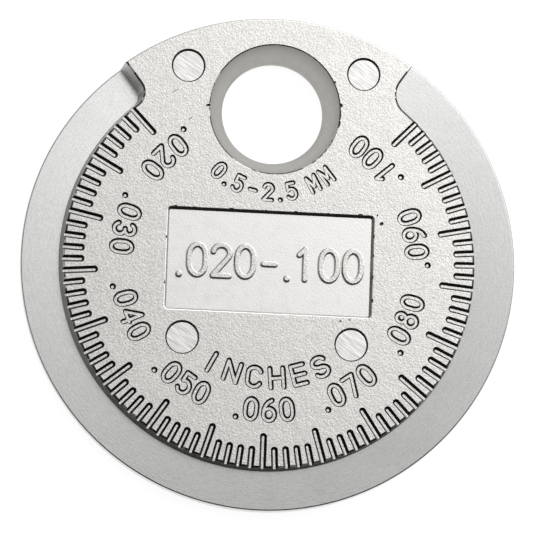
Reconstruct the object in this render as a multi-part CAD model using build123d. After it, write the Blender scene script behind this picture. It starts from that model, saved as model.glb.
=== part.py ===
from build123d import *
import os
from math import cos, radians, sin

# Spark plug gap gauge: one die-cast disc. Its rim is a ramp that climbs round a raised
# dial, so that the rim's thickness at each engraved mark is the gap that the mark names.
# Millimetres and degrees. The origin is the centre of the flat back, +Z leaves the dial
# face, +Y points at the round hole, and angles turn from +X towards +Y.

# Disc
disc_radius = 19.05
wall_draft = 8.5  # lean of every standing wall, which lets the casting leave its die
overrun = 1.0  # how far a cutter runs on past the surface that it breaks through
overrun_angle = 5.0  # the same, for a cutter that follows the rim

# Ramp, which thickens counter-clockwise, and its scale
rim_width = 3.2  # ramp width at the height of the dial face
smallest_gap = 0.508  # rim thickness at the first mark
largest_gap = 2.54  # rim thickness at the last mark
gap_step = 0.0254  # one division of the scale
division_angle = 3.4  # between neighbouring marks
middle_mark_angle = 270.0
thin_end_margin = 6.25  # ramp before the first mark
thick_end_margin = 10.4  # ramp past the last mark
thin_end_corner = 1.2  # plan radius between the end wall and the dial's round wall
thick_end_corner = 1.7
thick_end_step = 0.1  # how far the dial still stands above the ramp where it ends

# Engraved marks, every fifth one longer, each a groove with leaning walls
mark_width = 0.48
mark_depth = 0.38
mark_draft = 26.0
short_mark = 1.62
long_mark = 2.65
marks_per_long = 5
mark_end_flats = 4  # flats that round the inner end
mark_run_out = 0.03  # how far a mark's outer end clears the dial's wall

# Tapered hole, used to pry a plug's electrode and to hang the gauge on a ring
hole_face_radius = 5.05
hole_back_radius = 3.93
hole_land = 0.5  # straight stretch behind the taper
hole_edge_wall = 2.05  # dial face left between the hole and the disc's edge

# Sunk panel in the middle of the dial
panel_width = 15.9
panel_height = 7.9
panel_depth = 0.4
panel_corner = 0.25

# Marks left by the ejector pins
pin_radius = 1.22
pin_depth = 0.12
upper_pin_angle = 66.1  # above +X on one side and above -X on the other
upper_pin_edge_wall = 1.42  # dial face left between the mark and the disc's edge
lower_pin_spread = 6.5  # from the middle of the dial to either side
lower_pin_below_panel = 0.83

# Worked out from the sizes above
hub_radius = disc_radius - rim_width
mark_count = round((largest_gap - smallest_gap) / gap_step) + 1
first_mark_angle = middle_mark_angle - division_angle * (mark_count - 1) / 2
last_mark_angle = first_mark_angle + division_angle * (mark_count - 1)
rise_per_degree = gap_step / division_angle
ramp_start_angle = first_mark_angle - thin_end_margin
ramp_end_angle = last_mark_angle + thick_end_margin
ramp_start_height = smallest_gap - thin_end_margin * rise_per_degree
ramp_end_height = largest_gap + thick_end_margin * rise_per_degree
dial_height = ramp_end_height + thick_end_step
hole_distance = disc_radius - hole_edge_wall - hole_face_radius
upper_pin_distance = disc_radius - upper_pin_edge_wall - pin_radius
lower_pin_distance = panel_height / 2 + lower_pin_below_panel + pin_radius


def dial_face(shape):
    """The shape lifted from the plan to the dial face."""
    return Pos(0, 0, dial_height) * shape


def space_above_ramp():
    """Everything over the ramp's helical floor, which is level along each radius."""
    full_turn = 360
    pitch = rise_per_degree * full_turn
    start = ramp_start_angle - overrun_angle
    start_height = ramp_start_height - overrun_angle * rise_per_degree
    rise = (ramp_end_angle + overrun_angle - start) * rise_per_degree
    inner, outer = (
        Pos(0, 0, start_height) * Rot(0, 0, start) * Edge.make_helix(pitch, rise, radius)
        for radius in (hub_radius - overrun, disc_radius + 2 * overrun)
    )
    floor = Face.make_surface_from_curves(inner, outer)
    return Solid.extrude(floor, (0, 0, dial_height))


def ramp_pocket():
    """Ring sector round the dial with drafted walls, down to the ramp."""
    span = ramp_end_angle - ramp_start_angle
    inner = CenterArc((0, 0), hub_radius, ramp_start_angle, span)
    outer = CenterArc((0, 0), disc_radius + overrun, ramp_start_angle, span)
    outline = make_face([inner, outer, Line(inner @ 0, outer @ 0), Line(inner @ 1, outer @ 1)])
    for corner, radius in ((inner @ 0, thin_end_corner), (inner @ 1, thick_end_corner)):
        outline = fillet(outline.vertices().sort_by_distance(corner)[0], radius)
    return extrude(dial_face(outline), -dial_height, taper=wall_draft) & space_above_ramp()


def scale_mark(length):
    """One mark along +X, narrowing downwards, its far end just out of the dial's wall."""
    half_width = mark_width / 2
    outer = hub_radius + overrun
    tip = CenterArc((hub_radius - length + half_width, 0), half_width, 90, 180)
    end = [tip @ (flat / mark_end_flats) for flat in range(mark_end_flats + 1)]
    outline = Polygon((outer, half_width), *end, (outer, -half_width), align=None)
    upside_down = Rot(180, 0, 0)
    groove = upside_down * extrude(outline, mark_depth, taper=mark_draft)
    lean = radians(wall_draft)
    wall = Plane((hub_radius + mark_run_out, 0, 0), z_dir=(cos(lean), 0, sin(lean)))
    return dial_face(split(groove, bisect_by=wall, keep=Keep.BOTTOM))


def scale_marks():
    """All the marks: a long one first and at every fifth division, short ones between."""
    long_one, short_one = scale_mark(long_mark), scale_mark(short_mark)
    return [
        Rot(0, 0, first_mark_angle + number * division_angle)
        * (short_one if number % marks_per_long else long_one)
        for number in range(mark_count)
    ]


def tapered_hole():
    """Hole that narrows from the dial face down to a straight land at the back."""
    taper_height = dial_height - hole_land
    taper = Pos(0, 0, hole_land + taper_height / 2) * Cone(
        hole_back_radius, hole_face_radius, taper_height
    )
    land = Cylinder(hole_back_radius, 2 * hole_land)
    return Pos(0, hole_distance, 0) * (taper + land)


def sunk_panel():
    """Shallow rectangle with drafted walls."""
    outline = RectangleRounded(panel_width, panel_height, panel_corner)
    return extrude(dial_face(outline), -panel_depth, taper=wall_draft)


def pin_marks():
    """Four shallow discs, two beside the hole and two below the panel."""
    mark = extrude(dial_face(Circle(pin_radius)), -pin_depth)
    across = upper_pin_distance * cos(radians(upper_pin_angle))
    up = upper_pin_distance * sin(radians(upper_pin_angle))
    centres = [(across, up), (lower_pin_spread, -lower_pin_distance)]
    return [Pos(side * x, y, 0) * mark for x, y in centres for side in (-1, 1)]


def gauge_disc():
    """The casting: a plain disc less the ramp's pocket, the marks, the hole and the hollows."""
    disc = extrude(Circle(disc_radius), dial_height)
    cuts = [ramp_pocket(), *scale_marks(), tapered_hole(), sunk_panel(), *pin_marks()]
    return disc - cuts


os.makedirs("parts", exist_ok=True)
export_step(gauge_disc(), "parts/gauge_disc.step")
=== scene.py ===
"""Spark plug gap gauge: the die-cast disc with its ramp, scale, numbers and finish."""

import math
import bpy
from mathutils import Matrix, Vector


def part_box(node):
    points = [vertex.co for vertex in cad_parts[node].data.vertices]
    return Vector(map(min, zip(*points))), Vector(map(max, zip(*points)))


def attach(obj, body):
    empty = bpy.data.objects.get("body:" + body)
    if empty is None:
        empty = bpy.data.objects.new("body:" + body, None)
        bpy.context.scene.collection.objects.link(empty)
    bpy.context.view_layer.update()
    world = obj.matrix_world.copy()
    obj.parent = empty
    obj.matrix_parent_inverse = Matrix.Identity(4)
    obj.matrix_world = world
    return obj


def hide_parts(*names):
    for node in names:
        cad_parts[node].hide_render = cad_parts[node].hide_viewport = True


bl_info = {
    "name": "Gap gauge",
    "version": (1, 0, 0),
    "blender": (4, 5, 0),
    "location": "View3D > Sidebar > Gauge",
    "description": "Models a coin-shaped gap gauge, its engraving, its plating and a plain studio",
    "category": "Object",
}

from itertools import pairwise

import bpy
from bpy.props import (
    FloatProperty,
    FloatVectorProperty,
    IntProperty,
    PointerProperty,
    StringProperty,
)
from mathutils import Euler, Matrix, Vector

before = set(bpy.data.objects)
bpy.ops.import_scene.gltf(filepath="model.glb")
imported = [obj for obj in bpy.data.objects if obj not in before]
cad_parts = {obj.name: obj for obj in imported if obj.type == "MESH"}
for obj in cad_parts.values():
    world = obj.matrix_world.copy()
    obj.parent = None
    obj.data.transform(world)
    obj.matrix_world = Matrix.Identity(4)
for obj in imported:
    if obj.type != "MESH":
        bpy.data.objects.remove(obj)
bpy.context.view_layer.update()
NODE = "gauge_disc"
LOW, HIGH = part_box(NODE)

MM = 0.001
INCH = 25.4 * MM
PIECE = "graduated_disc"

# Patches of the studio's sky: bearing, height, radius of the core, radius of the edge, strength
SKY_PATCHES = (
    (50, 50, 20, 33, 1.85),
    (95, 6, 28, 46, 0.3),
    (270, 8, 58, 71, -0.38),
    (165, 64, 5, 16, -0.2),
    (205, 62, 5, 17, -0.35),
    (240, 60, 6, 17, -0.75),
    (272, 61, 7, 18, -0.75),
    (304, 62, 7, 17, -0.75),
    (334, 64, 5, 15, -0.5),
)

# Nicks and pits in the dial face, in millimetres: x, y, length, width, depth, turn in degrees
DENTS = (
    (-5.12, 12.0, 0.5, 0.22, 0.12, 10),
    (5.1, 12.5, 0.3, 0.34, 0.12, 5),
    (5.09, 11.75, 0.12, 0.8, 0.06, 0),
    (5.02, 11.0, 0.16, 0.6, 0.08, -11),
    (4.6, 14.3, 0.12, 0.24, 0.06, 25),
    (8.55, 3.4, 0.34, 0.26, 0.12, 30),
    (8.2, 4.05, 0.22, 0.12, 0.08, 60),
    (5.6, -4.3, 0.2, 0.14, 0.06, 0),
    (6.3, -4.18, 0.14, 0.12, 0.05, 0),
    (-7.75, 13.0, 0.7, 0.05, 0.02, 35),
    (-6.5, 10.9, 0.5, 0.05, 0.02, 40),
    (-7.4, 4.02, 0.3, 0.16, 0.1, 3),
    (-5.9, 4.0, 0.22, 0.12, 0.08, -5),
    (-3.1, 4.02, 0.36, 0.14, 0.08, 4),
    (-0.4, 4.0, 0.24, 0.12, 0.07, 0),
    (1.9, 4.02, 0.3, 0.14, 0.08, -3),
    (4.4, 4.0, 0.24, 0.13, 0.08, 4),
    (6.9, 4.02, 0.4, 0.16, 0.1, 0),
    (8.0, 2.4, 0.12, 0.3, 0.08, 0),
    (8.02, 0.9, 0.1, 0.24, 0.07, 4),
    (8.0, -0.8, 0.12, 0.3, 0.08, -4),
    (8.02, -2.6, 0.14, 0.34, 0.09, 0),
    (-8.0, 1.6, 0.1, 0.24, 0.06, 0),
    (-8.02, -1.9, 0.1, 0.3, 0.06, 5),
)

# Bearing and height of the studio's lamp
LAMP_WAY = (60, 60)

# How much a face's normal rises
LEVEL = 0.999  # at least this on a level face
STEEP = 0.8  # at most this on a wall
LEANING = 0.5  # at most this on the hole's wall, and more on its rounded edge
UPRIGHT = 0.3  # at most this on the dial's wall, and more on its rounded edge
SHARP = math.radians(30)  # edges that turn more than this stay sharp
PAST_HUB = 1.05  # beyond this many dial radii lie only the ramp's end walls

# Cutters
HAIR = 0.002 * MM  # how far a rounded edge starts above the face that is cut
OVER = 1.0 * MM  # how far a cutter runs on past what it cuts
OVER_TURN = math.radians(5)  # the same, round the disc
STRAIGHT = 1e-9  # inset of an upright step, which would make nothing without one
GROOVE_LEAN = math.radians(25)  # lean of a groove's walls
GROOVE_EDGE = 0.03 * MM  # rounding of a groove's edge
GROOVE_TOP = 0.2 * MM  # how far a groove's cutter stands above the face
FIGURE_LEAN = math.radians(10)  # lean of a raised figure's sides
FIGURE_ROOT = 0.1 * MM  # how far a raised figure reaches under the panel's floor
PANE = 1.7 * MM  # side of the squares that the level faces are divided into

# Flats of round shapes
EDGE_FLATS = 4
CORNER_FLATS = 9
ARC_FLATS = 10  # in half a turn
PEG_FLATS = 16
PIN_FLATS = 48
HOLE_FLATS = 160


def in_mm(name, description, size):
    """A length, given in millimetres."""
    return FloatProperty(name=name, description=description, default=size * MM, unit="LENGTH")


def spot_in_mm(name, description, x, y):
    """A place on the dial, given in millimetres."""
    words = {"name": name, "description": description}
    return FloatVectorProperty(**words, default=(x * MM, y * MM), size=2, unit="LENGTH")


def in_degrees(name, description, size):
    """An angle, given in degrees."""
    default = math.radians(size)
    return FloatProperty(name=name, description=description, default=default, subtype="ANGLE")


def a_colour(name, description, shade):
    """A plating's colour."""
    words = {"name": name, "description": description}
    return FloatVectorProperty(**words, default=shade, size=3, subtype="COLOR")


def a_number(name, description, default):
    """A plain number."""
    return FloatProperty(name=name, description=description, default=default)


def a_count(name, description, default):
    """A whole number."""
    return IntProperty(name=name, description=description, default=default, min=1)


def a_text(name, description, default):
    """A word or a line of figures."""
    return StringProperty(name=name, description=description, default=default)


class CastingSizes(bpy.types.PropertyGroup):
    """The disc, its ramp and its hole."""

    disc_radius: in_mm("Disc radius", "Outer radius", 19.05)
    dial_height: in_mm("Dial height", "Back face to dial face", HIGH.z / MM)
    rim_width: in_mm("Rim width", "Width of the ramp at the dial face", 3.2)
    wall_draft: in_degrees("Wall draft", "Lean of the standing walls", 8.5)
    edge_round: in_mm("Dial edge", "Rounding of the dial's edge", 0.2)
    edge_turn: in_degrees("Edge turn", "How far the dial's edge rounds over before the wall", 50)
    rim_round: in_mm("Rim edge", "Rounding of the outer edges", 0.12)
    thin_corner: in_mm(
        "Thin end corner", "Plan radius where the thin end's wall meets the dial", 1.2
    )
    thick_corner: in_mm(
        "Thick end corner", "Plan radius where the thick end's wall meets the dial", 1.7
    )
    hole_face_radius: in_mm("Hole at the face", "Hole radius at the dial face", 5.05)
    hole_back_radius: in_mm("Hole at the back", "Hole radius at the back", 3.93)
    hole_land: in_mm("Hole land", "Straight stretch at the back", 0.5)
    hole_edge_wall: in_mm(
        "Wall beside the hole", "Dial face left between the hole and the disc's edge", 2.05
    )
    hole_round: in_mm("Hole edge", "Rounding of the hole's edge", 0.1)
    segments: a_count("Segments", "Flats round the disc", 360)


class ScaleSizes(bpy.types.PropertyGroup):
    """The measuring ramp and its engraved marks."""

    smallest_gap: in_mm("Smallest gap", "Rim thickness at the first mark", 0.508)
    largest_gap: in_mm("Largest gap", "Rim thickness at the last mark", 2.54)
    gap_step: in_mm("Gap step", "One division of the scale", 0.0254)
    division: in_degrees("Division", "Angle between marks", 3.4)
    middle: in_degrees("Middle", "Direction of the middle mark", 270)
    thin_margin: in_degrees("Thin margin", "Ramp before the first mark", 6.25)
    thick_margin: in_degrees("Thick margin", "Ramp past the last mark", 10.4)
    mark_width: in_mm("Mark width", "Width at the dial face", 0.53)
    mark_depth: in_mm("Mark depth", "Depth of a mark", 0.38)
    short_mark: in_mm("Short mark", "Length of a short mark", 1.62)
    long_mark: in_mm("Long mark", "Length of a long mark", 2.65)
    marks_per_long: a_count("Marks per long mark", "Every so many is long", 5)
    run_out: in_mm("Run-out", "How far a mark clears the dial's wall", 0.04)


class HollowSizes(bpy.types.PropertyGroup):
    """The sunk panel and the marks of the ejector pins."""

    panel_width: in_mm("Panel width", "Panel's length along X", 15.9)
    panel_height: in_mm("Panel height", "Panel's length along Y", 7.9)
    panel_depth: in_mm("Panel depth", "Depth of the panel", 0.4)
    panel_draft: in_degrees("Panel draft", "Lean of the panel's walls", 19)
    panel_corner: in_mm("Panel corner", "Corner radius in plan", 0.25)
    panel_round: in_mm("Panel edge", "Rounding of the panel's edge", 0.1)
    pin_radius: in_mm("Pin radius", "Radius of an ejector pin", 1.18)
    pin_depth: in_mm("Pin depth", "Depth of a pin's mark", 0.13)
    pin_draft: in_degrees("Pin draft", "Lean of a pin mark's wall", 45)
    pin_tilt: in_degrees("Pin tilt", "Lean of a pin's mark, deeper towards the hole", 1.5)
    upper_pin: spot_in_mm("Upper pin", "Centre of the right upper pin's mark", 6.8, 15.0)
    lower_pin: spot_in_mm("Lower pin", "Centre of the right lower pin's mark", 6.5, -6.12)


class LetteringSizes(bpy.types.PropertyGroup):
    """Engraved numbers and words, and the raised numbers in the panel."""

    stroke: in_mm("Stroke", "Width of an engraved stroke", 0.42)
    depth: in_mm("Depth", "Depth of an engraved stroke", 0.25)
    number_radius: in_mm("Number radius", "Middle of the numbers from the disc's centre", 11.43)
    number_height: in_mm("Number height", "Height of the numbers", 2.05)
    number_pitch: in_mm("Number pitch", "From one figure of a number to the next", 1.38)
    marks_per_number: a_count("Marks per number", "Every so many has a number", 10)
    first_number_turn: in_degrees(
        "First number's turn", "How far the first number stands on from its mark", 1.4
    )
    unit_word: a_text("Unit", "Unit of the scale", "INCHES")
    unit_radius: in_mm("Unit radius", "Middle of the unit word from the disc's centre", 8.95)
    unit_height: in_mm("Unit height", "Height of the unit word", 1.95)
    unit_pitch: in_mm("Unit pitch", "From one letter of the unit to the next", 1.74)
    unit_breadth: a_number("Unit breadth", "How much broader the unit's letters are", 1.25)
    range_text: a_text("Range", "Range in millimetres", "0.5-2.5 MM")
    range_radius: in_mm("Range radius", "Middle of the range from the hole's centre", 6.5)
    range_height: in_mm("Range height", "Height of the range's figures", 1.62)
    range_pitch: in_mm("Range pitch", "From one figure of the range to the next", 1.2)
    range_share: a_number("Range share", "The range's strokes against the other strokes", 0.85)
    panel_text: a_text("Panel", "Raised in the panel", ".020-.100")
    panel_text_height: in_mm("Panel text height", "Height of the raised figures", 2.9)
    panel_text_pitch: in_mm("Panel text pitch", "From one raised figure to the next", 1.85)
    panel_relief: in_mm("Panel relief", "How far the figures stand up", 0.3)
    panel_stroke: in_mm("Panel stroke", "Width of a raised stroke", 0.5)


class FinishColours(bpy.types.PropertyGroup):
    """Colours of the plating."""

    plating: a_colour("Plating", "Bright plated metal", (0.8, 0.787, 0.757))
    bright: a_colour(
        "Bright plating", "Plating in the panel and the pin marks", (0.82, 0.812, 0.795)
    )
    ramp: a_colour("Ramp", "Plating on the ramp and the dial's wall", (0.69, 0.69, 0.682))
    # painted shade: the panel's walls darkened for the shade in the hollow
    wall: a_colour("Wall", "Duller plating on the panel's walls", (0.3, 0.293, 0.275))
    # painted shade: this dark colour stands in for the shade on rounded edges and on the walls of
    # grooves, pin marks and dents
    painted_shade: a_colour("Grime", "Dark plating on edges and in grooves' walls", (0.09, 0.086, 0.076))
    # painted shade: the hole's wall and the thick end's wall darkened for the shade that falls
    # there
    hole: a_colour("Hole", "Duller plating in the hole and at the thick end", (0.5, 0.486, 0.455))


class StudioSettings(bpy.types.PropertyGroup):
    """Camera, sky, lamp and floor."""

    tilt: in_degrees("Tilt", "Camera's lean from straight above", 9.8)
    bearing: in_degrees("Bearing", "Side of the disc on which the camera leans out", 239)
    roll: in_degrees("Roll", "Clockwise turn of the disc in the picture", 2.0)
    distance: in_mm("Distance", "Camera to disc", 340)
    picture_side: a_count("Picture side", "Pixels", 533)
    disc_pixels: a_number("Disc in pixels", "Radius of the disc in the picture", 247.2)
    disc_column: a_number("Disc column", "Middle of the disc in the picture", 268.0)
    disc_row: a_number("Disc row", "Middle of the disc in the picture", 264.7)
    ambient: a_number("Ambient", "Plain light from all of the sky", 0.52)
    lamp_distance: in_mm("Lamp distance", "Lamp to disc", 600)
    lamp_size: in_mm("Lamp size", "Width of the lamp", 600)
    lamp_power: FloatProperty(
        name="Lamp power", description="Power of the lamp", default=0.25, unit="POWER"
    )
    floor_side: in_mm("Floor side", "Side of the square floor", 3000)
    floor_grey: a_number("Floor grey", "Share of the light that the floor gives back", 0.25)
    floor_glow: a_number("Floor glow", "White that the camera and the metal see", 0.92)


GROUPS = {
    "gauge_casting": CastingSizes,
    "gauge_scale": ScaleSizes,
    "gauge_hollows": HollowSizes,
    "gauge_lettering": LetteringSizes,
    "gauge_finish": FinishColours,
    "gauge_studio": StudioSettings,
}


# Handling objects


def leave_edit_mode():
    """Go back to object mode, which also brings the mesh's data up to date."""
    bpy.ops.object.mode_set(mode="OBJECT")


def pick(*objects):
    """Select these objects alone, the last one active, in object mode."""
    if bpy.context.mode != "OBJECT":
        leave_edit_mode()
    bpy.ops.object.select_all(action="DESELECT")
    for item in objects:
        item.select_set(True)
        bpy.context.view_layer.objects.active = item


def named(name):
    """The active object, under a new name."""
    made = bpy.context.object
    made.name = made.data.name = name
    return made


def settle(item):
    """Put the object's place into its mesh."""
    pick(item)
    bpy.ops.object.transform_apply(location=True, rotation=True, scale=True)


def edit(item):
    """Go into edit mode with every point of the object selected."""
    pick(item)
    bpy.ops.object.mode_set(mode="EDIT")
    bpy.ops.mesh.select_mode(type="VERT")
    bpy.ops.mesh.select_all(action="SELECT")


def choose(item, kind, wanted):
    """Go into edit mode with only the wanted points, edges or faces selected."""
    pick(item)
    bpy.ops.object.mode_set(mode="EDIT")
    bpy.ops.mesh.select_mode(type=kind)
    bpy.ops.mesh.select_all(action="DESELECT")
    leave_edit_mode()
    parts = {"VERT": item.data.vertices, "EDGE": item.data.edges, "FACE": item.data.polygons}
    for part in parts[kind]:
        part.select = wanted(part)
    bpy.ops.object.mode_set(mode="EDIT")


def turn_outwards():
    """Turn all the faces of the object in edit mode outwards."""
    bpy.ops.mesh.select_all(action="SELECT")
    bpy.ops.mesh.normals_make_consistent(inside=False)


def meshed(name, points, edges, faces):
    """A new object with these points, edges and faces."""
    mesh = bpy.data.meshes.new(name)
    mesh.from_pydata(points, edges, faces)
    made = bpy.data.objects.new(name, mesh)
    bpy.context.scene.collection.objects.link(made)
    return made


def joined(name, items):
    """Several objects as one mesh."""
    pick(*items)
    if len(items) > 1:
        bpy.ops.object.join()
    return named(name)


def finish_modifiers(item):
    """Apply every modifier of the object."""
    pick(item)
    for modifier in list(item.modifiers):
        bpy.ops.object.modifier_apply(modifier=modifier.name)


def carve(body, tool, operation="DIFFERENCE"):
    """Cut the tool out of the body, or join or keep it, and delete the tool."""
    boolean = body.modifiers.new("carve", "BOOLEAN")
    boolean.operation = operation
    boolean.solver = "MANIFOLD"
    boolean.material_mode = "TRANSFER"
    boolean.object = tool
    before = len(body.data.polygons)
    finish_modifiers(body)
    if operation == "DIFFERENCE" and len(body.data.polygons) == before:
        raise RuntimeError(f"{tool.name} left {body.name} as it was")
    bpy.data.objects.remove(tool)
    return body


def fused(name, items):
    """Overlapping solids as one solid."""
    whole, *others = items
    for other in others:
        carve(whole, other, "UNION")
    pick(whole)
    return named(name)


# Sections


def eased_edge(draft, radius, steps=EDGE_FLATS, turn=None):
    """Points of a rounded edge between a leaning wall and a level face, from the wall up.

    Each point is how far it lies past the sharp edge, over the face, and its height from the
    face. The last one is a hair above the face. A smaller turn leaves a ridge at the wall."""
    turn = turn or math.pi / 2 - draft
    reach = radius * (math.sin(turn) - (1 - math.cos(turn)) * math.tan(draft))
    angles = [turn * (1 - step / steps) for step in range(steps)]
    points = [(reach - radius * math.sin(a), radius * (math.cos(a) - 1)) for a in angles]
    across, height = points[-1]
    slope = (reach - across) / -height
    return [*points, (reach + slope * HAIR, HAIR)]


def groove_section(width, depth, edge):
    """Half of a groove's section as (half width, height) pairs, from its floor upwards."""
    half = width / 2
    top = [(half + across, height) for across, height in eased_edge(GROOVE_LEAN, edge, 2)]
    return [(half - depth * math.tan(GROOVE_LEAN), -depth), *top, (top[-1][0], GROOVE_TOP)]


def hollow_levels(edge, face, over, depth, draft):
    """(inset, height) pairs of a hollow: over the face, down its rounded edge, then its wall."""
    widest = edge[-1][0]
    rounding = [(widest - across, face + height) for across, height in reversed(edge)]
    rounding[0] = (STRAIGHT, rounding[0][1])
    return [(0, face + over), *rounding, (widest + depth * math.tan(draft), face - depth)]


# Solids


def turned(name, centre, profile, segments):
    """A solid turned about an upright axis, from (radius, height) pairs."""
    x, y = centre
    radius, height = profile[0]
    pick()
    bpy.ops.mesh.primitive_circle_add(
        vertices=segments, radius=radius, fill_type="NGON", location=(x, y, height)
    )
    bpy.ops.object.mode_set(mode="EDIT")
    for (old, low), (new, high) in pairwise(profile):
        bpy.ops.mesh.extrude_region_move(TRANSFORM_OT_translate={"value": (0, 0, high - low)})
        share = new / old
        bpy.ops.transform.resize(value=(share, share, 1), center_override=(x, y, high))
    turn_outwards()
    made = named(name)
    settle(made)
    return made


def sunk(name, outline, levels):
    """A solid that narrows downwards from an outline, by (inset, height) pairs from the top.

    Each inset is larger than the one before it."""
    top = levels[0][1]
    made = meshed(name, [(x, y, top) for x, y in outline], [], [range(len(outline))])
    edit(made)
    bpy.ops.mesh.normals_make_consistent(inside=False)
    if looks_down(made):
        bpy.ops.mesh.flip_normals()
    for (old, high), (new, low) in pairwise(levels):
        bpy.ops.mesh.inset(thickness=new - old, depth=0, use_even_offset=True)
        bpy.ops.transform.translate(value=(0, 0, low - high))
    bpy.ops.mesh.select_non_manifold(extend=False)
    bpy.ops.mesh.edge_face_add()
    turn_outwards()
    leave_edit_mode()
    return made


def looks_down(item):
    """Whether the first face of the object in edit mode looks down."""
    item.update_from_editmode()
    return item.data.polygons[0].normal.z < 0


def drawn(name, points, closed):
    """A curve that runs straight from each flat point to the next."""
    pick()
    bpy.ops.object.add(type="CURVE")
    made = named(name)
    spline = made.data.splines.new("POLY")
    spline.points.add(len(points) - 1)
    for point, (x, y) in zip(spline.points, points):
        point.co = (x, y, 0, 1)
    spline.use_cyclic_u = closed
    return made


def stroke_section(section):
    """A flat curve of a stroke's whole section, for a path to carry along."""
    other_half = [(-half, height) for half, height in reversed(section)]
    made = drawn("stroke_section", [*section, *other_half], True)
    made.data.dimensions = "2D"
    return made


def swept(name, points, closed, section):
    """A stroke's section carried along a flat path."""
    made = drawn(name, points, closed)
    path = made.data
    path.dimensions = "3D"
    path.twist_mode = "Z_UP"
    path.bevel_mode = "OBJECT"
    path.bevel_object = section
    path.use_fill_caps = True
    pick(made)
    bpy.ops.object.convert(target="MESH")
    made = named(name)
    edit(made)
    bpy.ops.mesh.remove_doubles(threshold=1e-7)
    turn_outwards()
    leave_edit_mode()
    return made


# Stroke letters. Each one is drawn in a box one unit high, on the middle line of its strokes.


def bow(centre, radii, start, end):
    """Points of part of an ellipse, angles in degrees."""
    count = max(2, round(ARC_FLATS * abs(end - start) / 180))
    return [
        (
            centre[0] + radii[0] * math.cos(math.radians(start + (end - start) * i / count)),
            centre[1] + radii[1] * math.sin(math.radians(start + (end - start) * i / count)),
        )
        for i in range(count + 1)
    ]


def oval(left, bottom, right, top):
    """A closed upright loop with round ends."""
    half = (right - left) / 2
    centre = (left + right) / 2
    rise = min(1.4 * half, (top - bottom) / 2)
    upper = bow((centre, top - rise), (half, rise), 0, 180)
    lower = bow((centre, bottom + rise), (half, rise), 180, 360)
    points = [*upper, *lower]
    return [p for p, q in pairwise([*points, points[0]]) if math.dist(p, q) > 1e-6]


WIDE = 0.54  # width of a full letter's box, as a share of its height
HALF = WIDE / 2
CROWN_OF_2 = bow((HALF, 0.74), (HALF, 0.26), 170, -30)
TOP_OF_3 = bow((HALF * 0.9, 0.765), (HALF * 0.9, 0.235), 160, -90)
BOWL_OF_3 = bow((HALF, 0.27), (HALF, 0.27), 90, -160)
BOWL_OF_5 = bow((HALF * 0.95, 0.32), (HALF * 1.05, 0.32), 130, -150)
TOP_OF_C = bow((HALF, 0.7), (HALF, 0.3), 20, 180)
FOOT_OF_C = bow((HALF, 0.3), (HALF, 0.3), 180, 340)
TOP_OF_S = bow((HALF, 0.75), (HALF, 0.25), 20, 270)
FOOT_OF_S = bow((HALF, 0.25), (HALF, 0.25), 90, -160)

LOOPS = {
    "0": [oval(0, 0, WIDE, 1)],
    "6": [oval(0, 0, WIDE, 0.6)],
    "8": [oval(0, 0, WIDE, 0.54), oval(0.06, 0.54, WIDE - 0.06, 1)],
    "9": [oval(0, 0.4, WIDE, 1)],
}
STROKES = {
    "0": [],
    "1": [[(HALF, 0), (HALF, 1)], [(HALF, 1), (HALF - 0.2, 0.8)]],
    "2": [[*CROWN_OF_2, (0, 0)], [(0, 0), (WIDE, 0)]],
    "3": [TOP_OF_3, BOWL_OF_3],
    "4": [
        [(0.8 * WIDE, 0), (0.8 * WIDE, 1)],
        [(0.8 * WIDE, 1), (0, 0.3)],
        [(0, 0.3), (WIDE, 0.3)],
    ],
    "5": [[(0.9 * WIDE, 1), (0.12 * WIDE, 1)], [(0.12 * WIDE, 1), BOWL_OF_5[0]], BOWL_OF_5],
    "6": [bow((WIDE, 0.3), (WIDE, 0.7), 180, 103)],
    "7": [[(0, 1), (WIDE, 1)], [(WIDE, 1), (0.3 * WIDE, 0)]],
    "8": [],
    "9": [bow((0, 0.7), (WIDE, 0.7), 0, -77)],
    "-": [[(0.08, 0.45), (WIDE - 0.08, 0.45)]],
    "C": [[*TOP_OF_C, *FOOT_OF_C]],
    "E": [[(0, 0), (0, 1)], *([(0, y), (WIDE * 0.95, y)] for y in (0, 0.5, 1))],
    "H": [[(0, 0), (0, 1)], [(WIDE, 0), (WIDE, 1)], [(0, 0.5), (WIDE, 0.5)]],
    "I": [[(HALF, 0), (HALF, 1)]],
    "M": [
        [(0, 0), (0, 1)],
        [(0, 1), (HALF, 0.3)],
        [(HALF, 0.3), (WIDE, 1)],
        [(WIDE, 1), (WIDE, 0)],
    ],
    "N": [[(0, 0), (0, 1)], [(0, 1), (WIDE, 0)], [(WIDE, 0), (WIDE, 1)]],
    "S": [[*TOP_OF_S, *FOOT_OF_S[1:]]],
}
DOT = "."
SPACE = " "
PEG_SHARE = 0.985  # a stroke's round end is a hair narrower and shallower than the stroke
PEG_STEP = 0.01  # by how much more at each further stroke, so that no two ends lie flush
DOT_SHARE = 1.15  # size of a dot against a stroke


def peg(name, centre, section, share):
    """The round end of a stroke, or a dot."""
    profile = [(half * share, height * share) for half, height in section]
    return turned(name, centre, profile, PEG_FLATS)


def letter_tool(letter, height, breadth, section, curve):
    """One letter as a solid about the middle of its box, to cut or to raise."""
    stroke = 2 * max(half for half, _ in section)
    tall = height - stroke
    if letter == DOT:
        return peg("dot", (0, -tall / 2), section, DOT_SHARE)

    def placed(points):
        return [((x - HALF) * breadth * tall, (y - 0.5) * tall) for x, y in points]

    solids = [swept("loop", placed(points), True, curve) for points in LOOPS.get(letter, [])]
    for number, points in enumerate(STROKES[letter]):
        line = placed(points)
        solids.append(swept("stroke", line, False, curve))
        for end in (line[0], line[-1]):
            solids.append(peg("end", end, section, PEG_SHARE - PEG_STEP * number))
    return fused("letter", solids)


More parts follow.
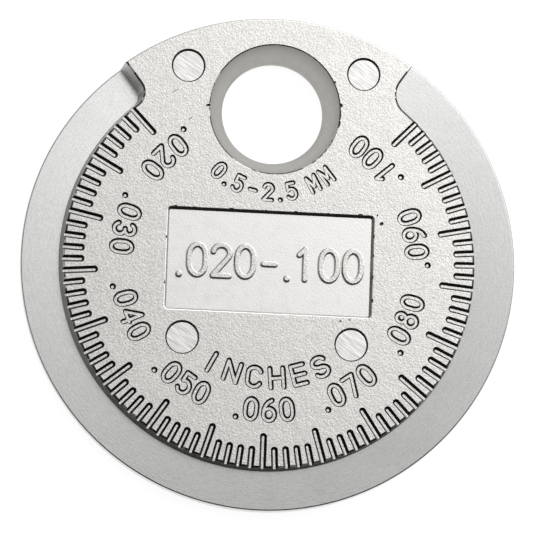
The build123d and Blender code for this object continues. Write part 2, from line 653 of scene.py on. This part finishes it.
def text_tool(name, text, height, pitch, section, place, breadth=1.0):
    """A line of letters, each put where place(distance along the line) says."""
    curve = stroke_section(section)
    steps = [pitch * (0.5 if letter in (DOT, SPACE) else 1.0) for letter in text]
    along = -sum(steps) / 2
    solids = []
    for letter, step in zip(text, steps):
        if letter != SPACE:
            solid = letter_tool(letter, height, breadth, section, curve)
            solid.matrix_world = place(along + step / 2)
            settle(solid)
            solids.append(solid)
        along += step
    bpy.data.objects.remove(curve)
    return fused(name, solids)


def on_arc(centre, radius, middle, height):
    """Places letters round an arc, read counter-clockwise with their tops towards the centre."""
    x, y = centre

    def place(along):
        angle = middle + along / radius
        spot = (x + radius * math.cos(angle), y + radius * math.sin(angle), height)
        return Matrix.Translation(spot) @ Matrix.Rotation(angle + math.pi / 2, 4, "Z")

    return place


# The casting


def scale_angles():
    """(first mark, rise per radian, ramp start, ramp end, mark count)."""
    sizes = bpy.context.scene.gauge_scale
    count = round((sizes.largest_gap - sizes.smallest_gap) / sizes.gap_step) + 1
    first = sizes.middle - sizes.division * (count - 1) / 2
    last = first + sizes.division * (count - 1)
    rise = sizes.gap_step / sizes.division
    return first, rise, first - sizes.thin_margin, last + sizes.thick_margin, count


def heading(angle):
    """Flat unit vector towards an angle."""
    return Vector((math.cos(angle), math.sin(angle)))


def bearing_of(point):
    """Angle at which a point lies from the disc's centre."""
    return math.atan2(point.y, point.x)


def end_outline(angle, side, radius, grown, outside):
    """Points of one end of the space over the ramp, from outside the disc to the dial's wall."""
    casting = bpy.context.scene.gauge_casting
    hub = casting.disc_radius - casting.rim_width
    out = heading(angle)
    into = side * Vector((-out.y, out.x))
    centre = radius * into + math.sqrt((hub + radius) ** 2 - radius**2) * out
    start = -grown * into + math.sqrt(outside**2 - grown**2) * out
    wall = bearing_of(-into)
    turn = (bearing_of(-centre) - wall + math.pi) % (2 * math.pi) - math.pi
    ways = [heading(wall + turn * i / CORNER_FLATS) for i in range(CORNER_FLATS + 1)]
    return [start, *(centre + (radius + grown) * way for way in ways)]


def pocket_outline(grown):
    """Plan outline of the space over the ramp, grown by some distance all round."""
    casting = bpy.context.scene.gauge_casting
    _, _, start, end, _ = scale_angles()
    outside = casting.disc_radius + OVER
    thin = end_outline(start, 1, casting.thin_corner, grown, outside)
    thick = end_outline(end, -1, casting.thick_corner, grown, outside)
    full = 2 * math.pi
    low = bearing_of(thin[-1])
    span = (bearing_of(thick[-1]) - low) % full
    steps = range(1, round(span / full * casting.segments))
    flats = steps.stop
    hub = casting.disc_radius - casting.rim_width - grown
    hub_arc = [hub * heading(low + span * i / flats) for i in steps]
    low = bearing_of(thin[0])
    span = (bearing_of(thick[0]) - low) % full
    rim_arc = [outside * heading(low + span * i / flats) for i in steps]
    return [tuple(p) for p in [*thin, *hub_arc, *reversed(thick), *reversed(rim_arc)]]


def space_over_ramp():
    """Everything above the ramp, with the ramp's rounded outer edge."""
    casting = bpy.context.scene.gauge_casting
    scale = bpy.context.scene.gauge_scale
    first, rise, start, end, _ = scale_angles()
    flat = 2 * math.pi / casting.segments
    low = math.floor((start - OVER_TURN) / flat) * flat
    steps = math.ceil((end + OVER_TURN - low) / flat)
    height = scale.smallest_gap + (low - first) * rise
    rim = casting.disc_radius
    edge = casting.rim_round
    inside, outside = rim - casting.rim_width - 1.5 * OVER, rim + 1.5 * OVER
    turns = [math.pi / 2 * i / EDGE_FLATS for i in range(EDGE_FLATS + 1)]
    curve = [(rim - edge + edge * math.sin(t), -edge + edge * math.cos(t)) for t in turns]
    curve[-1] = (rim + HAIR, -edge)
    top = 2 * HIGH.z
    profile = [(inside, 0), *curve, (outside, -edge), (outside, top), (inside, top)]
    points = [(r * math.cos(low), r * math.sin(low), height + z) for r, z in profile]
    count = len(points)
    made = meshed("ramp_space", points, [(i, (i + 1) % count) for i in range(count)], [])
    screw = made.modifiers.new("climb", "SCREW")
    screw.axis = "Z"
    screw.angle = steps * flat
    screw.screw_offset = steps * flat * rise
    screw.steps = screw.render_steps = steps
    screw.use_smooth_shade = False
    finish_modifiers(made)
    edit(made)
    bpy.ops.mesh.select_non_manifold(extend=False)
    bpy.ops.mesh.fill_holes(sides=0)
    turn_outwards()
    bpy.ops.mesh.quads_convert_to_tris(quad_method="FIXED")
    leave_edit_mode()
    return made


def pocket_tool(ramp, wall, ends, edges):
    """The space over the ramp, with the dial's drafted walls and rounded edge.

    The materials are the ramp's, the walls', those of the thin and the thick end's wall, and
    those of the dial's edge and of its edge at the thick end."""
    casting = bpy.context.scene.gauge_casting
    face, draft = casting.dial_height, casting.wall_draft
    rounding = eased_edge(draft, casting.edge_round, turn=casting.edge_turn)
    levels = hollow_levels(rounding, face, OVER, face + OVER, draft)
    tool = wear(sunk("pocket", pocket_outline(rounding[-1][0]), levels), wall)
    past_hub = PAST_HUB * (casting.disc_radius - casting.rim_width)

    def at_end(part, side):
        return part.center.xy.length > past_hub and part.center.x * side > 0

    def upright(part):
        return abs(part.normal.z) < UPRIGHT

    def rounded(part):
        return UPRIGHT < abs(part.normal.z) < LEVEL

    tint(tool, ends[0], lambda part: upright(part) and at_end(part, -1))
    tint(tool, edges[0], rounded)
    tint(tool, ends[1], lambda part: upright(part) and at_end(part, 1))
    tint(tool, edges[1], lambda part: rounded(part) and at_end(part, 1))
    return carve(tool, wear(space_over_ramp(), ramp), "INTERSECT")


def hole_tool():
    """The tapered hole with its rounded edge."""
    casting = bpy.context.scene.gauge_casting
    face, back = casting.dial_height, casting.hole_back_radius
    draft = math.atan((casting.hole_face_radius - back) / (face - casting.hole_land))
    rounding = eased_edge(draft, casting.hole_round)
    edge = [(casting.hole_face_radius + across, face + height) for across, height in rounding]
    profile = [(back, -OVER), (back, casting.hole_land), *edge, (edge[-1][0], face + OVER)]
    return turned("hole", hole_centre(), profile, HOLE_FLATS)


def hole_centre():
    """Where the hole lies in plan."""
    casting = bpy.context.scene.gauge_casting
    return 0.0, casting.disc_radius - casting.hole_edge_wall - casting.hole_face_radius


def panel_tool():
    """The sunk panel, with drafted walls and a slightly rounded edge."""
    sizes = bpy.context.scene.gauge_hollows
    face = bpy.context.scene.gauge_casting.dial_height
    edge = eased_edge(sizes.panel_draft, sizes.panel_round, 2)
    widest = edge[-1][0]
    width, height = sizes.panel_width / 2 + widest, sizes.panel_height / 2 + widest
    radius = sizes.panel_corner + widest
    outline = []
    for turn, x, y in ((0, 1, 1), (90, -1, 1), (180, -1, -1), (270, 1, -1)):
        centre = (x * (width - radius), y * (height - radius))
        outline += bow(centre, (radius, radius), turn, turn + 90)
    levels = hollow_levels(edge, face, OVER / 2, sizes.panel_depth, sizes.panel_draft)
    return sunk("panel", outline, levels)


def pin_tools():
    """The four marks of the ejector pins, each leaning a little."""
    sizes = bpy.context.scene.gauge_hollows
    face = bpy.context.scene.gauge_casting.dial_height
    radius, depth, tall = sizes.pin_radius, sizes.pin_depth, OVER / 2
    profile = [(radius, -depth), (radius + tall * math.tan(sizes.pin_draft), tall - depth)]
    lean = Euler((-sizes.pin_tilt, 0, 0)).to_matrix().to_4x4()
    solids = []
    for x, y in (sizes.upper_pin, sizes.lower_pin):
        for side in (-1, 1):
            solid = turned("pin", (0, 0), profile, PIN_FLATS)
            solid.matrix_world = Matrix.Translation((side * x, y, face)) @ lean
            settle(solid)
            solids.append(solid)
    return joined("pins", solids)


def dents_tool():
    """Small nicks and pits that use has left, each the dent of a flattened ball."""
    face = bpy.context.scene.gauge_casting.dial_height
    solids = []
    for x, y, long, wide, deep, turn in DENTS:
        pick()
        bpy.ops.mesh.primitive_ico_sphere_add(
            subdivisions=2,
            radius=1.0,
            location=(x * MM, y * MM, face),
            rotation=(0, 0, math.radians(turn)),
            scale=(long * MM / 2, wide * MM / 2, deep * MM),
        )
        dent = named("dent")
        settle(dent)
        solids.append(dent)
    return joined("dents", solids)


def mark_tool(length, section):
    """One groove along X, its far end leaning as the dial's wall does."""
    casting = bpy.context.scene.gauge_casting
    scale = bpy.context.scene.gauge_scale
    hub = casting.disc_radius - casting.rim_width
    inner = hub - length + scale.mark_width / 2
    made = turned("mark", (inner, 0), section, PEG_FLATS)
    there, half_flat = Matrix.Translation((inner, 0, 0)), math.pi / PEG_FLATS
    made.data.transform(there @ Matrix.Rotation(half_flat, 4, "Z") @ there.inverted())
    choose(made, "VERT", lambda vertex: vertex.co.x > inner)
    bpy.ops.transform.translate(value=(length + OVER, 0, 0))
    bpy.ops.mesh.select_all(action="SELECT")
    lean = casting.wall_draft
    bpy.ops.mesh.bisect(
        plane_co=(hub + scale.run_out, 0, 0),
        plane_no=(math.cos(lean), 0, math.sin(lean)),
        use_fill=True,
        clear_outer=True,
        threshold=1e-8,
    )
    leave_edit_mode()
    return made


def marks_tool():
    """All the marks of the scale."""
    scale = bpy.context.scene.gauge_scale
    face = bpy.context.scene.gauge_casting.dial_height
    section = groove_section(scale.mark_width, scale.mark_depth, GROOVE_EDGE)
    models = {length: mark_tool(length, section) for length in (scale.long_mark, scale.short_mark)}
    first, _, _, _, count = scale_angles()
    solids = []
    for number in range(count):
        length = scale.short_mark if number % scale.marks_per_long else scale.long_mark
        pick(models[length])
        bpy.ops.object.duplicate()
        copy = bpy.context.object
        turn = Matrix.Rotation(first + number * scale.division, 4, "Z")
        copy.matrix_world = Matrix.Translation((0, 0, face)) @ turn
        solids.append(copy)
    for model in models.values():
        bpy.data.objects.remove(model)
    made = joined("marks", solids)
    settle(made)
    return made


def lettering_tool():
    """All the engraved numbers and words."""
    sizes = bpy.context.scene.gauge_lettering
    scale = bpy.context.scene.gauge_scale
    face = bpy.context.scene.gauge_casting.dial_height
    section = groove_section(sizes.stroke, sizes.depth, GROOVE_EDGE)
    first, _, _, _, count = scale_angles()
    solids = []
    for number in range(0, count, sizes.marks_per_number):
        gap = scale.smallest_gap + number * scale.gap_step
        text = f"{gap / INCH:.3f}".removeprefix("0")
        turn = first + number * scale.division + (0 if number else sizes.first_number_turn)
        place = on_arc((0, 0), sizes.number_radius, turn, face)
        height, pitch = sizes.number_height, sizes.number_pitch
        solids.append(text_tool(f"number_{number}", text, height, pitch, section, place))
    down = math.radians(270)
    place = on_arc((0, 0), sizes.unit_radius, down, face)
    height, pitch, breadth = sizes.unit_height, sizes.unit_pitch, sizes.unit_breadth
    solids.append(text_tool("unit", sizes.unit_word, height, pitch, section, place, breadth))
    place = on_arc(hole_centre(), sizes.range_radius, down, face)
    share = sizes.range_share
    small = groove_section(sizes.stroke * share, sizes.depth * share, GROOVE_EDGE)
    height, pitch = sizes.range_height, sizes.range_pitch
    solids.append(text_tool("range", sizes.range_text, height, pitch, small, place))
    return joined("lettering", solids)


def panel_figures():
    """The raised figures of the panel, rooted in its floor, with leaning sides and worn edges."""
    sizes = bpy.context.scene.gauge_lettering
    hollows = bpy.context.scene.gauge_hollows
    floor = bpy.context.scene.gauge_casting.dial_height - hollows.panel_depth
    half = sizes.panel_stroke / 2
    relief = sizes.panel_relief
    lean = math.tan(FIGURE_LEAN)
    section = [
        (half + FIGURE_ROOT * lean, -FIGURE_ROOT),
        (half, 0),
        (half - relief * 0.8 * lean, relief * 0.8),
        (half - relief * lean - 0.02 * MM, relief * 0.96),
        (half - relief * lean - 0.06 * MM, relief),
    ]

    def place(along):
        return Matrix.Translation((along, 0, floor))

    height, pitch = sizes.panel_text_height, sizes.panel_text_pitch
    return text_tool("figures", sizes.panel_text, height, pitch, section, place)


# Materials


# Sockets of a mix node: its two colours and its result
ONE, OTHER, MIXED = 6, 7, 2


class Paint:
    """A material's node tree, built one node at a time."""

    def __init__(self, name="", tree=None):
        if tree is None:
            self.material = bpy.data.materials.new(name)
            self.material.use_nodes = True
            tree = self.material.node_tree
        self.tree = tree
        self.tree.nodes.clear()
        self.where = self.add("ShaderNodeTexCoord").outputs["Object"]

    def add(self, kind, inputs=(), **settings):
        """A new node, with a value or another node's output for each of these inputs."""
        node = self.tree.nodes.new(kind)
        for key, value in settings.items():
            setattr(node, key, value)
        for key, value in dict(inputs).items():
            if isinstance(value, bpy.types.NodeSocket):
                self.tree.links.new(value, node.inputs[key])
            else:
                node.inputs[key].default_value = value
        return node

    def noise(self, scale, roughness=0.5, vector=None):
        """A cloudy pattern, finer with a larger scale."""
        vector = vector or self.where
        inputs = {"Vector": vector, "Scale": scale, "Detail": 2.0, "Roughness": roughness}
        return self.add("ShaderNodeTexNoise", inputs).outputs["Fac"]

    def spread(self, value, low, high, start=0.3, end=0.7):
        """The value's stretch from start to end, spread from low to high."""
        inputs = {"Value": value, "From Min": start, "From Max": end}
        inputs |= {"To Min": low, "To Max": high}
        return self.add("ShaderNodeMapRange", inputs).outputs["Result"]

    def maths(self, operation, first, second=0.0):
        """What comes of one or two values."""
        return self.add("ShaderNodeMath", {0: first, 1: second}, operation=operation).outputs[0]

    def shaded(self, colour, pattern, darkest):
        """The colour, darkened by a pattern down to some share of itself."""
        share = self.spread(pattern, darkest, 1.0)
        grey = self.add("ShaderNodeCombineColor", {0: share, 1: share, 2: share}).outputs[0]
        inputs = {"Factor": 1.0, ONE: (*colour, 1), OTHER: grey}
        mix = self.add("ShaderNodeMix", inputs, data_type="RGBA", blend_type="MULTIPLY")
        return mix.outputs[MIXED]

    def finish(self, colour, roughness, bump, strength, distance=0.01 * MM):
        """The finished material: metal in this colour, with the bumps of a pattern."""
        inputs = {"Height": bump, "Strength": strength, "Distance": distance}
        normal = self.add("ShaderNodeBump", inputs).outputs["Normal"]
        inputs = {"Base Color": colour, "Roughness": roughness, "Normal": normal, "Metallic": 1.0}
        shader = self.add("ShaderNodeBsdfPrincipled", inputs)
        self.add("ShaderNodeOutputMaterial", {"Surface": shader.outputs[0]})
        return self.material


def cast_plating():
    """Bright plating over the die casting's fine, sandy grain."""
    finish = bpy.context.scene.gauge_finish
    paint = Paint("cast_plating")
    grain, swell = paint.noise(7500, 0.65), paint.noise(700)
    height = paint.maths("ADD", grain, paint.maths("MULTIPLY", swell, 0.6))
    colour = paint.shaded(finish.plating, grain, 0.72)
    return paint.finish(colour, paint.spread(swell, 0.17, 0.25), height, 1.0, 0.009 * MM)


def rim_plating():
    """Plating over the ramp, with fine streaks that run round the disc."""
    finish = bpy.context.scene.gauge_finish
    paint = Paint("rim_plating")
    split = paint.add("ShaderNodeSeparateXYZ", {0: paint.where}).outputs
    angle = paint.maths("ARCTAN2", split[1], split[0])
    squares = [paint.maths("MULTIPLY", split[axis], split[axis]) for axis in (0, 1)]
    radius = paint.maths("SQRT", paint.maths("ADD", *squares))
    round_way = paint.maths("MULTIPLY", angle, 2.5 * MM)
    track = paint.add("ShaderNodeCombineXYZ", {0: round_way, 1: radius, 2: 0.0}).outputs[0]
    streaks, grain = paint.noise(9000, 0.6, track), paint.noise(7000, 0.6)
    both = paint.maths("MULTIPLY", paint.maths("ADD", streaks, grain), 0.5)
    rough = paint.spread(paint.noise(400), 0.2, 0.26)
    return paint.finish(paint.shaded(finish.ramp, both, 0.8), rough, both, 0.5, 0.008 * MM)


def smooth_plating(name, colour, low=0.3, high=0.4, darkest=0.94):
    """Smoother plating, as in the panel and the grooves, between two roughnesses."""
    paint = Paint(name)
    grain, swell = paint.noise(7000), paint.noise(1200)
    rough = paint.spread(swell, low, high)
    return paint.finish(paint.shaded(colour, swell, darkest), rough, grain, 0.3)


def shaded_edge_paint(name, shade_colour, lighter_colour, least=0.78):
    """Dark plating on an edge, with stretches where the edge has stayed bright."""
    paint = Paint(name)
    fine = paint.maths("MULTIPLY", paint.noise(2500, 0.6), 0.5)
    patches = paint.maths("ADD", paint.noise(350), fine)
    share = paint.spread(patches, 0.0, 1.0, least, least + 0.06)
    inputs = {"Factor": share, ONE: (*shade_colour, 1), OTHER: (*lighter_colour, 1)}
    colour = paint.add("ShaderNodeMix", inputs, data_type="RGBA").outputs[MIXED]
    return paint.finish(colour, 0.3, patches, 0.3)


def brushed_plating(name, colour):
    """Plating over slanting brush marks, as the ejector pins left it."""
    paint = Paint(name)
    inputs = {"Vector": paint.where, "Rotation": (0, 0, math.radians(35))}
    slanting = paint.add("ShaderNodeMapping", inputs).outputs[0]
    inputs = {0: slanting, 1: (0.12, 1.0, 1.0)}
    stretched = paint.add("ShaderNodeVectorMath", inputs, operation="MULTIPLY").outputs[0]
    brush = paint.noise(6500, 0.6, stretched)
    rough = paint.spread(brush, 0.24, 0.3)
    return paint.finish(paint.shaded(colour, brush, 0.6), rough, brush, 0.6)


def wear(item, material):
    """Give the whole object one material."""
    item.data.materials.clear()
    item.data.materials.append(material)
    return item


def tint(item, material, wanted):
    """Give only the wanted faces of the object this material."""
    item.data.materials.append(material)
    choose(item, "FACE", wanted)
    item.active_material_index = len(item.data.materials) - 1
    bpy.ops.object.material_slot_assign()
    leave_edit_mode()
    return item


def floor_and_walls(item, floor, wall):
    """Give the object one material, and its walls another."""
    return tint(wear(item, floor), wall, lambda face: abs(face.normal.z) < STEEP)


def cut_up(item):
    """Divide the level faces into squares, which keeps the faces round the engraving small."""
    for axis in (0, 1):
        reach = max(abs(corner[axis]) for corner in item.bound_box)
        count = math.ceil(reach / PANE)
        for number in range(1 - count, count):
            choose(item, "FACE", lambda face: abs(face.normal.z) > LEVEL)
            spot, way = [0, 0, 0], [0, 0, 0]
            spot[axis], way[axis] = number * PANE, 1
            bpy.ops.mesh.bisect(plane_co=spot, plane_no=way, threshold=1e-8)
    leave_edit_mode()


# Operators


class GAUGE_OT_casting(bpy.types.Operator):
    """Model the disc with its ramp, hole, panel and pin marks"""

    bl_idname = "gauge.casting"
    bl_label = "Cast disc"

    def execute(self, context):
        casting = context.scene.gauge_casting
        finish = context.scene.gauge_finish
        face = casting.dial_height
        pick()
        bpy.ops.mesh.primitive_cylinder_add(
            vertices=casting.segments,
            radius=casting.disc_radius,
            depth=face,
            location=(0, 0, face / 2),
        )
        disc = named(PIECE)
        settle(disc)
        points = disc.data.vertices

        def level(edge):
            low, high = sorted(points[i].co.z for i in edge.vertices)
            return high - low < face / 2

        choose(disc, "EDGE", level)
        bpy.ops.mesh.bevel(offset=casting.rim_round, segments=EDGE_FLATS, affect="EDGES")
        leave_edit_mode()
        cut_up(disc)
        wear(disc, cast_plating())
        # painted shade for the walls of the grooves, pin marks and dents, and for the panel's wall
        # nearest the hole
        painted_shade = smooth_plating("painted_shade", finish.painted_shade)
        # painted shade on the dial's rounded edge and on the hole's edge; at the thick end more of
        # the edge keeps the lighter colour
        edge = shaded_edge_paint("shaded_edge_paint", finish.painted_shade, finish.ramp)
        wall = smooth_plating("wall_plating", finish.ramp)
        # the dial's wall at the ramp's ends: a lighter colour at the thin end as painted light,
        # and a darker one at the thick end as painted shade
        ends = (
            smooth_plating("thin_end_painted_light", finish.bright, 0.55, 0.65),
            smooth_plating("thick_end_painted_shade", finish.hole),
        )
        edges = (edge, shaded_edge_paint("thick_end_shaded_edge", finish.painted_shade, finish.plating, 0.66))
        carve(disc, pocket_tool(rim_plating(), wall, ends, edges))
        # the hole's wall gets painted shade
        hole = wear(hole_tool(), smooth_plating("hole_painted_shade", finish.hole, 0.4, 0.5, 0.8))
        carve(disc, tint(hole, edge, lambda part: LEANING < abs(part.normal.z) < LEVEL))
        floor = smooth_plating("panel_plating", finish.bright, 0.2, 0.3)
        # the panel's walls get painted shade
        panel = floor_and_walls(panel_tool(), floor, smooth_plating("panel_walls_painted_shade", finish.wall))
        # painted shade on the wall nearest the hole, which the camera sees in shadow
        tint(panel, painted_shade, lambda part: abs(part.normal.z) < STEEP and part.normal.y > 0.5)
        carve(disc, panel)
        pins = floor_and_walls(pin_tools(), brushed_plating("pin_plating", finish.bright), painted_shade)
        carve(disc, pins)
        # the nicks and pits are real wear; their insides get the painted shade
        carve(disc, wear(dents_tool(), painted_shade))
        return {"FINISHED"}


class GAUGE_OT_engraving(bpy.types.Operator):
    """Engrave the scale, its numbers and its words, and raise the panel's figures"""

    bl_idname = "gauge.engraving"
    bl_label = "Engrave scale"

    def execute(self, context):
        disc = bpy.data.objects[PIECE]
        plating, painted_shade = bpy.data.materials["cast_plating"], bpy.data.materials["painted_shade"]
        # the walls of the marks and of the lettering get the painted shade
        carve(disc, floor_and_walls(marks_tool(), plating, painted_shade))
        carve(disc, floor_and_walls(lettering_tool(), plating, painted_shade))
        carve(disc, wear(panel_figures(), plating), "UNION")
        return {"FINISHED"}


class GAUGE_OT_dressing(bpy.types.Operator):
    """Smooth the casting, keep its flat faces flat and put it on the frame"""

    bl_idname = "gauge.dressing"
    bl_label = "Dress casting"

    def execute(self, context):
        disc = bpy.data.objects[PIECE]
        edit(disc)
        bpy.ops.mesh.faces_shade_smooth()
        bpy.ops.mesh.select_all(action="DESELECT")
        bpy.ops.mesh.select_mode(type="EDGE")
        bpy.ops.mesh.edges_select_sharp(sharpness=SHARP)
        bpy.ops.mesh.mark_sharp()
        bpy.ops.mesh.select_all(action="DESELECT")
        leave_edit_mode()
        choose(disc, "FACE", lambda face: abs(face.normal.z) > LEVEL)
        bpy.ops.mesh.region_to_loop()
        bpy.ops.mesh.mark_sharp()
        leave_edit_mode()
        flatten = disc.modifiers.new("flatten", "WEIGHTED_NORMAL")
        flatten.keep_sharp = True
        finish_modifiers(disc)
        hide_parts(NODE)
        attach(disc, "root")
        return {"FINISHED"}


class GAUGE_OT_studio(bpy.types.Operator):
    """Set the floor, the sky, the lamp and the camera"""

    bl_idname = "gauge.studio"
    bl_label = "Set studio"

    def execute(self, context):
        make_floor()
        make_sky()
        make_lamp()
        make_camera()
        context.scene.view_settings.view_transform = "Standard"
        return {"FINISHED"}


def make_floor():
    """A plain pale floor, white to the camera and to the metal, that keeps the disc's shadow."""
    studio = bpy.context.scene.gauge_studio
    pick()
    bpy.ops.mesh.primitive_plane_add(size=studio.floor_side, location=(0, 0, LOW.z))
    floor = named("floor")
    paint = Paint("floor_white")
    path = paint.add("ShaderNodeLightPath").outputs
    seen = paint.maths("MAXIMUM", path["Is Camera Ray"], path["Is Glossy Ray"])
    seen = paint.maths("MAXIMUM", seen, path["Is Transmission Ray"])
    grey = studio.floor_grey
    matt = paint.add("ShaderNodeBsdfDiffuse", {"Color": (grey, grey, grey, 1)}).outputs[0]
    strength = paint.maths("MULTIPLY", seen, studio.floor_glow)
    inputs = {"Color": (1, 1, 1, 1), "Strength": strength}
    glow = paint.add("ShaderNodeEmission", inputs).outputs[0]
    both = paint.add("ShaderNodeAddShader", {0: matt, 1: glow}).outputs[0]
    paint.add("ShaderNodeOutputMaterial", {"Surface": both})
    wear(floor, paint.material)


def make_sky():
    """A soft studio sky: plain grey, with brighter and darker stretches that the metal mirrors."""
    studio = bpy.context.scene.gauge_studio
    world = bpy.data.worlds.new("studio_sky")
    bpy.context.scene.world = world
    world.use_nodes = True
    paint = Paint(tree=world.node_tree)
    ray = paint.where.node.outputs["Generated"]
    light = studio.ambient
    for bearing, height, inner, outer, strength in SKY_PATCHES:
        inputs = {0: ray, 1: skyward(bearing, height)}
        aim = paint.add("ShaderNodeVectorMath", inputs, operation="DOT_PRODUCT").outputs["Value"]
        edge, core = math.cos(math.radians(outer)), math.cos(math.radians(inner))
        inputs = {"Value": aim, "From Min": edge, "From Max": core, "To Max": strength}
        patch = paint.add("ShaderNodeMapRange", inputs, interpolation_type="SMOOTHSTEP")
        light = paint.maths("ADD", patch.outputs["Result"], light)
    light = paint.maths("MAXIMUM", light, 0.0)
    sky = paint.add("ShaderNodeBackground", {"Strength": light}).outputs[0]
    paint.add("ShaderNodeOutputWorld", {0: sky})


def skyward(bearing, height):
    """Unit vector towards a bearing and a height, both in degrees."""
    a, e = math.radians(bearing), math.radians(height)
    return Vector((math.cos(a) * math.cos(e), math.sin(a) * math.cos(e), math.sin(e)))


def make_lamp():
    """One large soft lamp, high over the hole."""
    studio = bpy.context.scene.gauge_studio
    away = skyward(*LAMP_WAY)
    pick()
    bpy.ops.object.light_add(type="AREA", location=away * studio.lamp_distance)
    lamp = named("soft_lamp")
    lamp.data.shape = "DISK"
    lamp.data.size = studio.lamp_size
    lamp.data.energy = studio.lamp_power
    lamp.rotation_euler = away.to_track_quat("Z", "Y").to_euler()


def make_camera():
    """The photograph's camera: nearly overhead, leaning out over the lower side."""
    studio = bpy.context.scene.gauge_studio
    casting = bpy.context.scene.gauge_casting
    centre = Vector((0, 0, casting.dial_height / 2))
    away = skyward(math.degrees(studio.bearing), 90 - math.degrees(studio.tilt))
    bpy.ops.object.camera_add()
    camera = named("camera")
    camera.location = centre + away * studio.distance
    up = Vector((math.sin(-studio.roll), math.cos(studio.roll), 0))
    right = up.cross(away).normalized()
    true_up = away.cross(right)
    camera.rotation_euler = Matrix((right, true_up, away)).transposed().to_euler()
    lens = camera.data
    lens.sensor_width = 36
    half = studio.picture_side / 2
    disc_share = studio.disc_pixels / studio.picture_side
    lens.lens = lens.sensor_width * disc_share * studio.distance / casting.disc_radius
    lens.shift_x = (half - studio.disc_column) / studio.picture_side
    lens.shift_y = (studio.disc_row - half) / studio.picture_side
    lens.clip_start, lens.clip_end = 0.01, 10
    bpy.context.scene.camera = camera


class GAUGE_PT_panel(bpy.types.Panel):
    """The gauge's steps and sizes"""

    bl_idname = "GAUGE_PT_panel"
    bl_label = "Gap gauge"
    bl_space_type = "VIEW_3D"
    bl_region_type = "UI"
    bl_category = "Gauge"

    def draw(self, context):
        for step in OPERATORS:
            self.layout.operator(step.bl_idname)
        for name, group in GROUPS.items():
            column = self.layout.column(heading=group.__doc__)
            for key in group.__annotations__:
                column.prop(getattr(context.scene, name), key)


OPERATORS = (GAUGE_OT_casting, GAUGE_OT_engraving, GAUGE_OT_dressing, GAUGE_OT_studio)
CLASSES = (*GROUPS.values(), *OPERATORS, GAUGE_PT_panel)


def register():
    for kind in CLASSES:
        bpy.utils.register_class(kind)
    for name, group in GROUPS.items():
        setattr(bpy.types.Scene, name, PointerProperty(type=group))


def unregister():
    for name in GROUPS:
        delattr(bpy.types.Scene, name)
    for kind in reversed(CLASSES):
        bpy.utils.unregister_class(kind)


def main():
    """Make the gauge and its studio, and note both boxes."""
    register()
    bpy.ops.gauge.casting()
    bpy.ops.gauge.engraving()
    bpy.ops.gauge.dressing()
    bpy.ops.gauge.studio()


if __name__ == "__main__":
    main()
